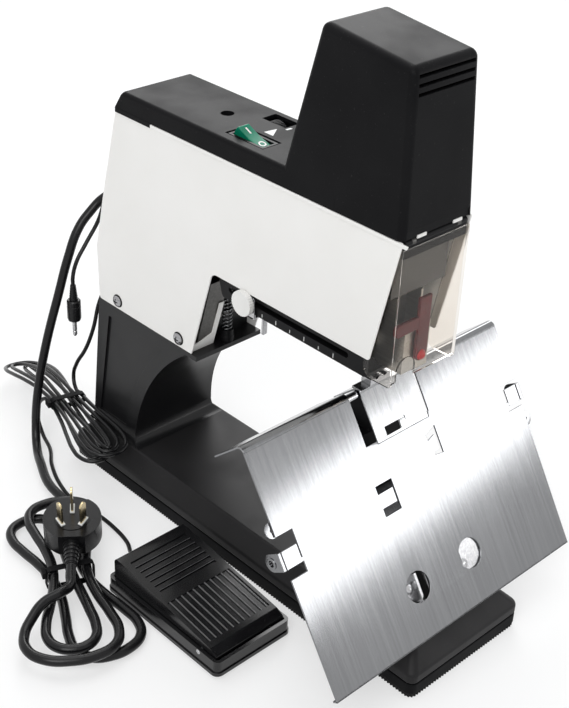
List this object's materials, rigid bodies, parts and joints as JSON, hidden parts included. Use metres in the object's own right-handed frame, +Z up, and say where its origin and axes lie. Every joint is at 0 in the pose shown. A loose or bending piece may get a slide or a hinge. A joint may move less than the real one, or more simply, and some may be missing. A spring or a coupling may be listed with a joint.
{
  "type": "electric saddle stapler",
  "caption": "Electric saddle stapler with a deep throat, white covers over a black column and base, a drive tower, a sloping steel saddle table, a clear nose guard and a foot pedal.",
  "frame": {"origin": "centre of the base's underside", "axes": "+Z up, -Y towards the front where the table slopes down, +X to the right seen from the front"},
  "size_m": [0.3269, 0.4608, 0.3836],
  "materials": {
    "mat_rubber": "dull, moulded",
    "pan_black": "satin black paint",
    "base_grey": "fine moulded grain",
    "column_black": "satin moulding",
    "cover_white": "smooth white powder coat",
    "screw_chrome": "bright",
    "screw_steel": "plain zinc",
    "gland_rubber": "dull",
    "top_black": "satin moulding",
    "fitting_black": "smooth",
    "rocker_green": "clear green, lit from inside",
    "dial_black": "ribbed rim",
    "chassis_steel": "zinc plate",
    "yoke_iron": "bare",
    "coil_copper": "enamelled copper wire, taped",
    "drive_steel": "ground",
    "board_green": "lacquered board",
    "arm_black": "satin black paint",
    "magazine_steel": "plain",
    "staple_steel": "bright wire",
    "spring_steel": "dark oiled wire",
    "latch_red": "deep red",
    "stop_steel": "bent sheet",
    "knob_white": "ivory white",
    "guard_clear": "clear, faintly smoky",
    "post_black": "painted black",
    "anvil_steel": "bright bent sheet",
    "table_steel": "brushed stainless",
    "pedal_black": "grained",
    "pin_steel": "plain",
    "lead_black": "smooth black sheath",
    "plug_brass": "pale brass"
  },
  "bodies": {
    "frame": {"base_mat": "mat_rubber", "base_pan": "pan_black", "base_shell": "base_grey", "base_screws": "screw_steel", "column": "column_black", "side_cover_left": "cover_white", "side_cover_right": "cover_white", "rear_cover": "cover_white", "cover_screws": "screw_chrome", "cord_gland": "gland_rubber", "pedal_socket": "fitting_black", "top_cover": "top_black", "deck_screw": "screw_steel", "rocker_bezel": "fitting_black", "chassis": "chassis_steel", "solenoid_frame": "yoke_iron", "solenoid_coil": "coil_copper", "control_board": "board_green", "pivot_shaft": "drive_steel", "lift_spring": "spring_steel", "spring_cup": "fitting_black", "guard_pin": "drive_steel", "anvil_post": "post_black", "anvil_plate": "anvil_steel", "clincher": "anvil_steel", "table_rest": "table_steel", "pedal_pad": "mat_rubber", "pedal_base": "pedal_black", "pedal_pin": "pin_steel", "pedal_spring": "spring_steel", "pedal_switch": "pedal_black", "mains_lead": "lead_black", "mains_hank": "lead_black", "mains_plug": "lead_black", "plug_pins": "plug_brass", "pedal_lead": "lead_black", "pedal_hank": "lead_black", "cord_ties": "lead_black", "jack_body": "lead_black", "jack_pin": "pin_steel"},
    "rocker": {"rocker": "rocker_green"},
    "dial": {"force_dial": "dial_black"},
    "plunger": {"plunger": "drive_steel"},
    "arm": {"arm": "arm_black", "magazine": "magazine_steel", "staple_strip": "staple_steel", "nose_guide": "magazine_steel", "pusher_spring": "spring_steel"},
    "blade": {"driver_blade": "drive_steel"},
    "pusher": {"pusher": "magazine_steel"},
    "latch": {"release_latch": "latch_red"},
    "stop": {"depth_stop": "stop_steel"},
    "knob": {"stop_knob": "knob_white"},
    "guard": {"guard": "guard_clear", "guard_bracket": "arm_black"},
    "table": {"saddle_table": "table_steel", "table_rods": "table_steel", "edge_guides": "table_steel"},
    "pedal": {"pedal_plate": "pedal_black"}
  },
  "joints": [
    {"name": "plunger_slide", "type": "slide", "parent": "frame", "child": "plunger", "axis": [0, 0, -1], "range_m": [0, 0.02], "stiffness_N_per_m": 800, "springref_m": -0.03},
    {"name": "arm_hinge", "type": "hinge", "parent": "frame", "child": "arm", "pos_m": [0, 0.12, 0.208], "axis": [1, 0, 0], "range_deg": [0, 2.7], "deforming": ["lift_spring"]},
    {"name": "driver_slide", "type": "slide", "parent": "arm", "child": "blade", "axis": [0, 0, -1], "range_m": [0, 0.0105]},
    {"name": "pusher_slide", "type": "slide", "parent": "arm", "child": "pusher", "axis": [0, 1, 0], "range_m": [0, 0.025], "stiffness_N_per_m": 100, "springref_m": -0.03, "deforming": ["pusher_spring"]},
    {"name": "latch_slide", "type": "slide", "parent": "arm", "child": "latch", "axis": [0, 0, -1], "range_m": [0, 0.006], "stiffness_N_per_m": 100, "springref_m": -0.01},
    {"name": "stop_slide", "type": "slide", "parent": "arm", "child": "stop", "axis": [0, -1, 0], "range_m": [-0.012, 0.05]},
    {"name": "knob_turn", "type": "hinge", "parent": "stop", "child": "knob", "pos_m": [-0.031, 0.011, 0.192], "axis": [-1, 0, 0], "range_deg": [-180, 180]},
    {"name": "guard_hinge", "type": "hinge", "parent": "frame", "child": "guard", "pos_m": [0, -0.1095, 0.2786], "axis": [-1, 0, 0], "range_deg": [0, 85]},
    {"name": "rocker_hinge", "type": "hinge", "parent": "frame", "child": "rocker", "pos_m": [-0.014, 0.025, 0.289], "axis": [-1, 0, 0], "range_deg": [0, 14]},
    {"name": "dial_turn", "type": "hinge", "parent": "frame", "child": "dial", "pos_m": [0.0174, 0.0375, 0.2838], "axis": [1, 0, 0], "range_deg": [-135, 135]},
    {"name": "table_hinge", "type": "hinge", "parent": "frame", "child": "table", "pos_m": [0, -0.0766, 0.161], "axis": [-1, 0, 0], "range_deg": [0, 55]},
    {"name": "pedal_hinge", "type": "hinge", "parent": "frame", "child": "pedal", "pos_m": [-0.0983, -0.063, 0.011], "axis": [-1, 0, 0], "range_deg": [0, 5], "stiffness_Nm_per_rad": 0.6, "springref_deg": -22.92, "deforming": ["pedal_spring"]}
  ],
  "couplings": [
    {"joint": "arm_hinge", "follows": "plunger_slide", "rad_per_m": 2.27},
    {"joint": "driver_slide", "follows": "plunger_slide", "ratio": 0.5}
  ]
}
